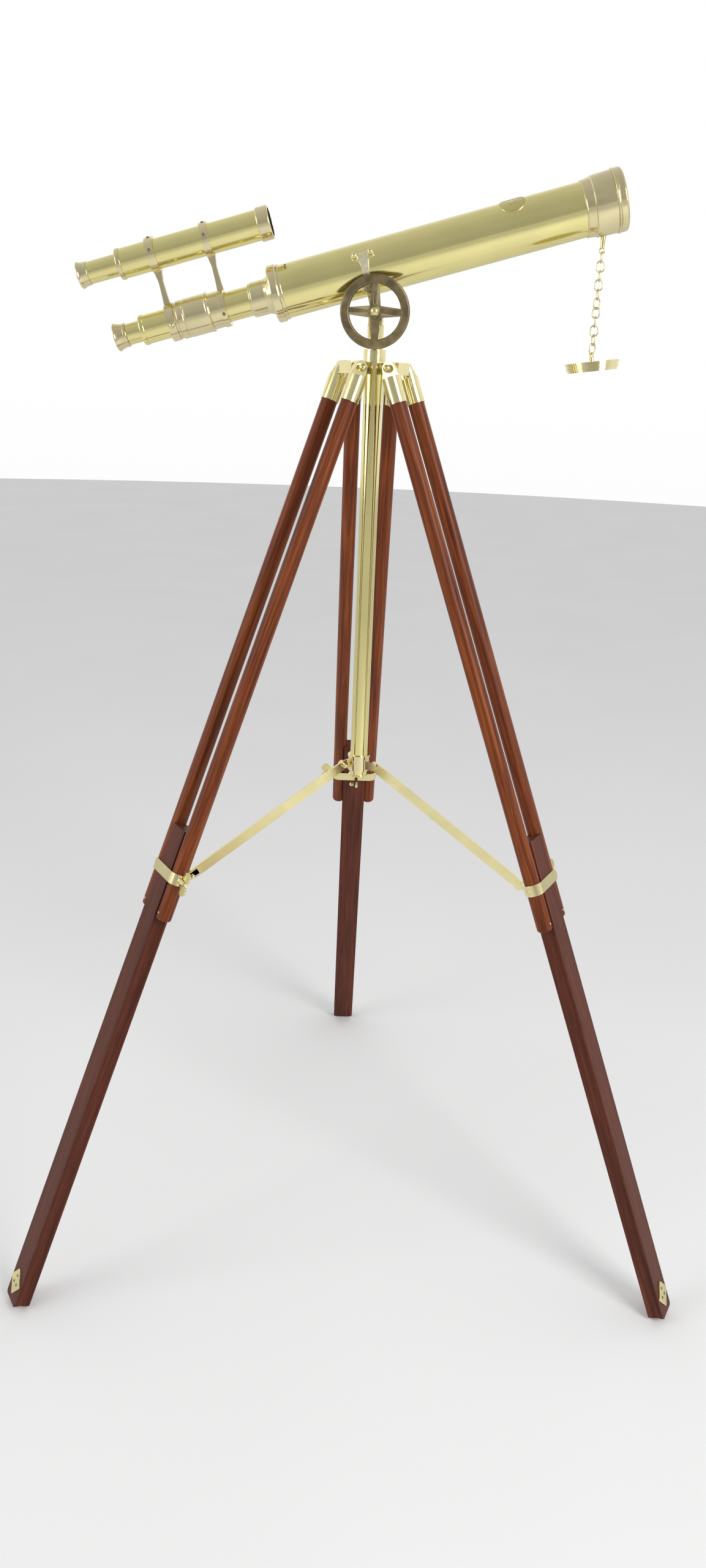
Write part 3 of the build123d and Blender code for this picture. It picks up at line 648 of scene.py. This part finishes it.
# ---- cradle, head and wheel ----
def head_pieces():
    refine("cradle", AXLE_FRAME, STRAP, "telescope", 0.6)
    refine("cradle_screws", AXLE_FRAME, FASTENER, "telescope", 0.2)
    refine("yoke_post", UPRIGHT, TURNED, "yoke", 1.0)
    refine("axle_bolt", WHEEL, FASTENER, "yoke", 0.5)
    refine("clamp_wheel", WHEEL, BRONZE, "clamp_wheel", 0.9)
    refine("hub", UPRIGHT, TURNED, "stand", 0.9)
    refine("leg_hinge_bolts", UPRIGHT, FASTENER, "stand", 0.5)
    pole = [(757, 11.5), (1330, 11.5), (1330, 12.7), (757, 12.7)]
    lathe("pole_polished", pole, UPRIGHT, POLISHED, "stand", ["pole"], soft=0.3)
    refine("pole_end", UPRIGHT, CAST, "stand", 0.6)
    refine("spider", UPRIGHT, CAST, "spider", 0.8)
    refine("spider_pins", UPRIGHT, FASTENER, "spider", 0.3)


# ---- lens cap and chain ----
def cap_pieces():
    refine("bell_eyelet", UPRIGHT, FASTENER, "telescope", 0.3)
    refine("chain_links", UPRIGHT, WIRE, "chain", 0.05)
    refine("lens_cap", UPRIGHT, TURNED, "cap", 0.6)


# ---- legs ----
FOOT_PLATE_FACE = 13.5
FOOT_PLATE_DROP = 1391
ROD_OFFSET = 26.5
ROD_FACE = 10.85
BRAD_DROP = 781
BAND_SIDE = 39.9
BAND_DROP = 727
RIVET_OFFSET = 3.6


def leg_pieces(name):
    place = leg_frame(name)
    along = place @ axes_matrix((0, 0, 0), (0, 0, -1), (0, 1, 0))
    refine(f"{name}_rods", place, ROD, f"{name}_leg", 0.3)
    refine(f"{name}_ferrules", along, TURNED, f"{name}_leg", 0.5)
    refine(f"{name}_clamp_band", along, TURNED, f"{name}_leg", 0.1)
    refine(f"{name}_wing_nut", place, FASTENER, f"{name}_wing_nut", 0.9)
    refine(f"{name}_board", place, BOARD, f"{name}_lower_leg", 1.2)
    refine(f"{name}_foot_plate", place, FASTENER, f"{name}_lower_leg", 0.5)
    refine(f"{name}_foot_spike", along, FASTENER, f"{name}_lower_leg", 0.3)
    refine(f"{name}_brace", place, TURNED, f"{name}_brace", 0.5)
    outward = place @ Matrix.Translation((FOOT_PLATE_FACE * MM, 0, -FOOT_PLATE_DROP * MM))
    for index, (across, along_leg) in enumerate(((-5, -3), (5, -3), (0, 9))):
        spot = outward @ Matrix.Translation((0, across * MM, along_leg * MM))
        screw(f"{name}_foot_screw_{index}", spot, f"{name}_lower_leg", 2.4, 0.8, True, SCREWS)
    for index, across in enumerate((-ROD_OFFSET, ROD_OFFSET)):
        spot = place @ Matrix.Translation((ROD_FACE * MM, across * MM, -BRAD_DROP * MM))
        screw(f"{name}_rod_brad_{index}", spot, f"{name}_leg", 1.6, 0.6, False)
    side = place @ Matrix.Translation((0, -BAND_SIDE * MM, -BAND_DROP * MM))
    for index, offset in enumerate((-RIVET_OFFSET, RIVET_OFFSET)):
        spot = side @ axes_matrix((0, 0, offset * MM), (0, -1, 0), (0, 0, 1))
        screw(f"{name}_band_rivet_{index}", spot, f"{name}_leg", 1.9, 0.9, False)


main_tube_pieces()
medallion_piece()
focus_pieces()
bracket_pieces()
head_pieces()
cap_pieces()
for leg in LEGS:
    leg_pieces(leg)


# ---- floor, world, lights and camera ----
def floor_material():
    """Plain, pale and matt."""
    nodes = Nodes("floor_pale")
    tone = nodes.ramp(nodes.noise(1.5, 2), [(0.3, (0.84, 0.84, 0.84)), (0.7, (0.86, 0.86, 0.86))])
    nodes.link(tone, nodes.shader.inputs["Base Color"])
    nodes.shader.inputs["Roughness"].default_value = 0.9
    nodes.shader.inputs["Specular IOR Level"].default_value = 0.0
    return nodes.material


def stage():
    build = bmesh.new()
    bmesh.ops.create_circle(build, cap_ends=True, radius=14, segments=96)
    mesh = bpy.data.meshes.new("floor")
    build.to_mesh(mesh)
    build.free()
    floor = bpy.data.objects.new("floor", mesh)
    bpy.context.scene.collection.objects.link(floor)
    mesh.materials.append(floor_material())


def world_light():
    """One soft studio light for every ray: palest at the horizon, dimmer overhead and in front."""
    world = bpy.data.worlds.new("studio")
    bpy.context.scene.world = world
    world.use_nodes = True
    tree = world.node_tree
    coordinates = tree.nodes.new("ShaderNodeTexCoord")
    split = tree.nodes.new("ShaderNodeSeparateXYZ")
    tree.links.new(coordinates.outputs["Generated"], split.inputs[0])

    def toned(direction, start, end, stops):
        position = tree.nodes.new("ShaderNodeMapRange")
        position.inputs["From Min"].default_value = start
        position.inputs["From Max"].default_value = end
        tree.links.new(split.outputs[direction], position.inputs["Value"])
        ramp = tree.nodes.new("ShaderNodeValToRGB")
        elements = ramp.color_ramp.elements
        while len(elements) < len(stops):
            elements.new(0.5)
        for element, (at, level) in zip(elements, stops):
            element.position = at
            element.color = (level, level, level, 1)
        tree.links.new(position.outputs["Result"], ramp.inputs["Fac"])
        return ramp.outputs["Color"]

    height = toned("Z", -1, 1, ((0.0, 0.8), (0.5, 1.0), (0.7, 1.0), (1.0, 0.6)))
    depth = toned("Y", -1, 1, ((0.0, 0.42), (0.3, 0.8), (0.5, 1.0), (1.0, 1.0)))
    product = tree.nodes.new("ShaderNodeMix")
    product.data_type = "RGBA"
    product.blend_type = "MULTIPLY"
    product.inputs["Factor"].default_value = 1.0
    tree.links.new(height, product.inputs[6])
    tree.links.new(depth, product.inputs[7])
    background = tree.nodes["Background"]
    tree.links.new(product.outputs[2], background.inputs["Color"])
    background.inputs["Strength"].default_value = 1.0


def area_light(name, place, target, size, power):
    data = bpy.data.lights.new(name, "AREA")
    data.shape = "RECTANGLE"
    data.size, data.size_y = size
    data.energy = power
    lamp = bpy.data.objects.new(name, data)
    bpy.context.scene.collection.objects.link(lamp)
    lamp.location = place
    lamp.rotation_euler = (Vector(target) - Vector(place)).to_track_quat("-Z", "Y").to_euler()


EYE = (0.0698, -1.5999, 1.3101)
YAW = 2.107
PITCH_DOWN = 19.65
ROLL = 2.4


def camera():
    data = bpy.data.cameras.new("camera")
    data.sensor_fit = "VERTICAL"
    data.sensor_height = 36.0
    data.lens = 25.73
    data.shift_x = -0.00753
    data.shift_y = 0.0008
    eye = bpy.data.objects.new("camera", data)
    bpy.context.scene.collection.objects.link(eye)
    yaw = Matrix.Rotation(radians(YAW), 4, "Z")
    pitch = Matrix.Rotation(radians(90 - PITCH_DOWN), 4, "X")
    roll = Matrix.Rotation(radians(ROLL), 4, "Z")
    eye.matrix_world = Matrix.Translation(EYE) @ yaw @ pitch @ roll
    bpy.context.scene.camera = eye


stage()
world_light()
area_light("key", (1.9, -2.1, 2.3), (0, 0, 0.8), (1.2, 1.8), 45)
area_light("fill", (-2.2, -1.2, 1.8), (0, 0, 0.9), (1.2, 1.8), 14)
camera()
bpy.context.scene.view_settings.view_transform = "Standard"
